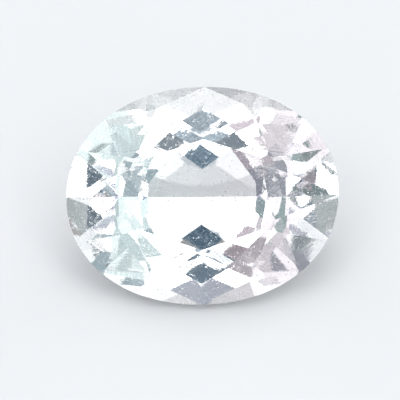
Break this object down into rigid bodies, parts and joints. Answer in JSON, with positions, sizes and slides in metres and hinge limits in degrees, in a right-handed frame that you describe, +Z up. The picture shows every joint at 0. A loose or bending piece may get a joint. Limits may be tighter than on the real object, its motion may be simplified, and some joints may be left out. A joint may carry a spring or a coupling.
{
  "type": "oval cut topaz",
  "caption": "Loose oval gemstone of clear topaz, cut with flat facets, lying on one facet of its pavilion with its table tilted up.",
  "frame": {"origin": "on the surface that the stone lies on, under the middle of its box", "axes": "+X along the oval's length, +Z up, the table leans towards -Y"},
  "size_m": [0.0126, 0.0076, 0.0071],
  "materials": {
    "topaz": "polished flat facets, finely ground girdle"
  },
  "bodies": {
    "root": {"topaz": "topaz"}
  },
  "joints": []
}
